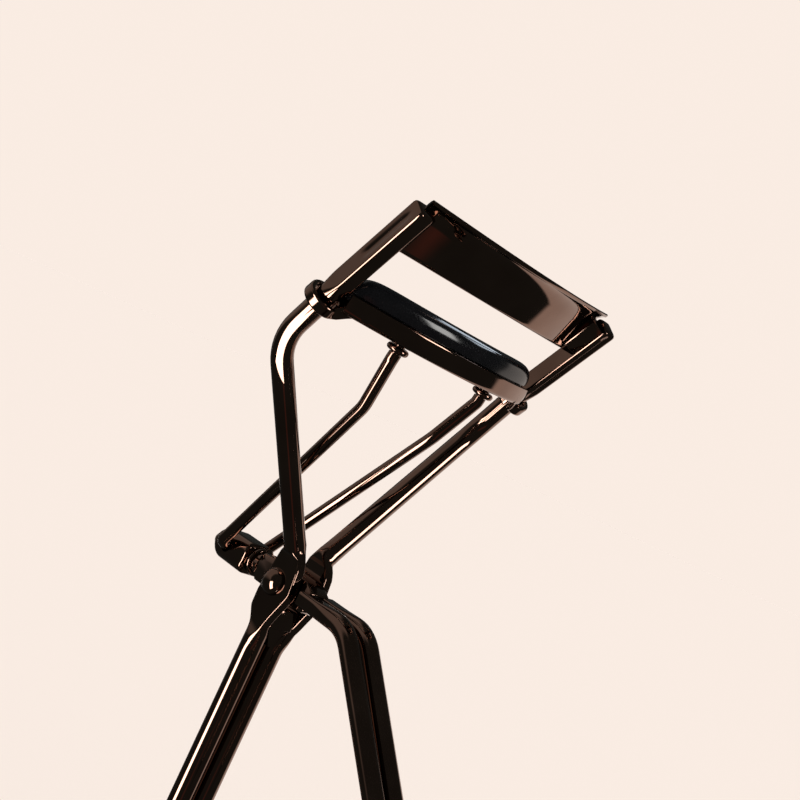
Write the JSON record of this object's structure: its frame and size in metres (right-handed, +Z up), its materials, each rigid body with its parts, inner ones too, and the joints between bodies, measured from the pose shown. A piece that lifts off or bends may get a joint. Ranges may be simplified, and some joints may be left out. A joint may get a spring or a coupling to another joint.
{
  "type": "eyelash curler",
  "caption": "Hand-held eyelash curler: a bent-wire frame with a fixed upper jaw, a hinged lever with a finger loop, and a padded jaw that slides up the rails.",
  "frame": {"origin": "on the centre line of the frame handle, at the middle of its finger loop", "axes": "+Z up along the frame handle to the head, +X along the pivot rivet across the width of the jaws, -Y towards the lever handle, the side that faces the user's eye"},
  "size_m": [0.0376, 0.073, 0.1116],
  "materials": {
    "dark_steel": "dark gunmetal mirror plating on steel",
    "black_rubber": "smooth semi-gloss black silicone"
  },
  "bodies": {
    "frame": {"frame_wire_left": "dark_steel", "frame_wire_right": "dark_steel", "pivot_rivet": "dark_steel", "spacer_block": "dark_steel", "upper_jaw": "dark_steel"},
    "lever": {"lever_wire_left": "dark_steel", "lever_wire_right": "dark_steel", "lever_block": "dark_steel", "crosshead": "dark_steel", "swivel_stud": "dark_steel", "stud_washer": "dark_steel"},
    "push_rods": {"push_rod_left": "dark_steel", "push_rod_right": "dark_steel", "rod_collar_left": "dark_steel", "rod_collar_right": "dark_steel"},
    "jaw": {"lower_jaw": "dark_steel", "lash_pad": "black_rubber"}
  },
  "joints": [
    {"name": "lever_hinge", "type": "hinge", "parent": "frame", "child": "lever", "pos_m": [0, 0, 0.052], "axis": [1, 0, 0], "range_deg": [0, 22]},
    {"name": "rod_hinge", "type": "hinge", "parent": "lever", "child": "push_rods", "pos_m": [0, 0.012, 0.0522], "axis": [1, 0, 0], "range_deg": [-19, 0]},
    {"name": "jaw_slide", "type": "slide", "parent": "frame", "child": "jaw", "axis": [0, -0.6074, 0.7944], "range_m": [0, 0.0042]}
  ],
  "couplings": [
    {"joint": "rod_hinge", "follows": "lever_hinge", "ratio": -0.8513},
    {"joint": "jaw_slide", "follows": "lever_hinge", "m_per_rad": 0.0109}
  ]
}
